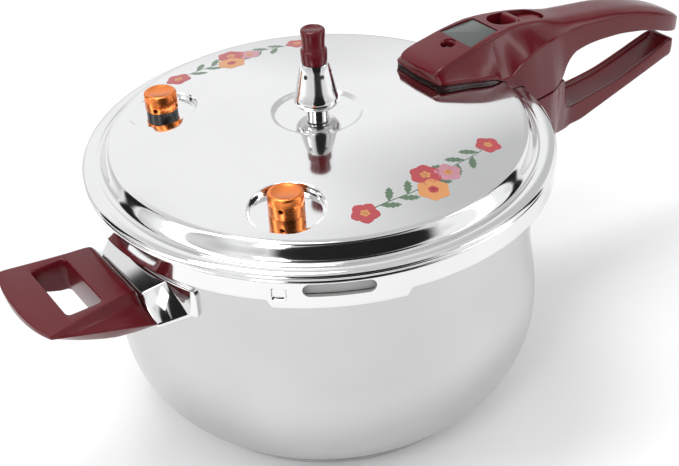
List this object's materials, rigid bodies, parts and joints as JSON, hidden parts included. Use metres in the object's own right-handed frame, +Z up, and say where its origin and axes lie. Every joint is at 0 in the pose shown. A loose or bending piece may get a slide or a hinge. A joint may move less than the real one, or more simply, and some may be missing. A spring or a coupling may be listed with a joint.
{
  "type": "stovetop pressure cooker",
  "caption": "Bulged steel pressure cooker with a bayonet lid, long two-part handle, helper handle, pressure weight and safety valves.",
  "frame": {"origin": "centre of the base's flat underside, on the stove", "axes": "+Z up along the pot's axis; +X along the long handle, away from the pot; the helper handle lies along -X"},
  "size_m": [0.4535, 0.2508, 0.212],
  "materials": {
    "steel_satin": "satin-polished stainless steel",
    "steel_mirror": "mirror-polished stainless steel",
    "aluminium_core": "plain aluminium",
    "handle_maroon": "glossy dark maroon phenolic",
    "handle_dark": "darker maroon phenolic",
    "slider_red": "glossy maroon plastic",
    "plate_grey": "grey-green plastic",
    "seal_rubber": "grey silicone rubber",
    "black_plastic": "black phenolic",
    "anodised_cap": "copper-orange anodised aluminium",
    "screw_steel": "zinc-plated steel",
    "spring_steel": "spring steel",
    "print_green": "baked print, leaf green",
    "print_red": "baked print, red",
    "print_orange": "baked print, orange",
    "print_pink": "baked print, pink"
  },
  "bodies": {
    "pot": {"pot_body": "steel_satin", "base_core": "aluminium_core", "base_cap": "steel_satin", "helper_bracket": "steel_mirror", "helper_handle": "handle_maroon", "helper_screw": "screw_steel", "pot_handle_bracket": "steel_satin", "pot_handle": "handle_maroon", "pot_handle_screw": "screw_steel"},
    "seal": {"gasket": "seal_rubber"},
    "lid": {"lid_shell": "steel_mirror", "lid_bracket": "steel_satin", "lid_handle_base": "handle_dark", "lid_handle": "handle_maroon", "lid_handle_screw": "screw_steel", "window_plate": "plate_grey", "indicator_seal": "seal_rubber", "indicator_spring": "spring_steel", "vent_pipe": "steel_mirror", "vent_nut": "screw_steel", "vent_washer": "seal_rubber", "vent_strainer": "steel_satin", "front_valve_cap": "anodised_cap", "front_valve_seat": "screw_steel", "front_valve_spring": "spring_steel", "front_valve_nut": "screw_steel", "front_valve_washer": "seal_rubber", "left_valve_cap": "anodised_cap", "left_valve_seat": "screw_steel", "left_valve_spring": "spring_steel", "left_valve_nut": "screw_steel", "left_valve_washer": "seal_rubber", "left_valve_collar": "black_plastic"},
    "weight": {"weight_body": "steel_mirror", "weight_knob": "handle_maroon", "weight_needle": "screw_steel"},
    "lock": {"lock_slider": "slider_red", "lock_bolt": "screw_steel"},
    "indicator": {"indicator_pin": "handle_dark"},
    "front_valve": {"front_valve_plunger": "screw_steel"},
    "left_valve": {"left_valve_plunger": "screw_steel"}
  },
  "joints": [
    {"name": "lid_lift", "type": "slide", "parent": "pot", "child": "seal", "axis": [0, 0, 1], "range_m": [0, 0.12]},
    {"name": "lid_turn", "type": "hinge", "parent": "seal", "child": "lid", "pos_m": [0, 0, 0], "axis": [0, 0, 1], "range_deg": [0, 38]},
    {"name": "weight_lift", "type": "slide", "parent": "lid", "child": "weight", "axis": [0, 0, 1], "range_m": [0, 0.03]},
    {"name": "lock_slide", "type": "slide", "parent": "lid", "child": "lock", "axis": [-1, 0, 0], "range_m": [0, 0.007]},
    {"name": "indicator_rise", "type": "slide", "parent": "lid", "child": "indicator", "axis": [0, 0, 1], "range_m": [0, 0.003], "stiffness_N_per_m": 60, "springref_m": -0.002, "deforming": ["indicator_spring"]},
    {"name": "front_valve_lift", "type": "slide", "parent": "lid", "child": "front_valve", "axis": [0, 0, 1], "range_m": [0, 0.0015], "stiffness_N_per_m": 400, "springref_m": -0.003, "deforming": ["front_valve_spring"]},
    {"name": "left_valve_lift", "type": "slide", "parent": "lid", "child": "left_valve", "axis": [0, 0, 1], "range_m": [0, 0.0015], "stiffness_N_per_m": 400, "springref_m": -0.003, "deforming": ["left_valve_spring"]}
  ]
}
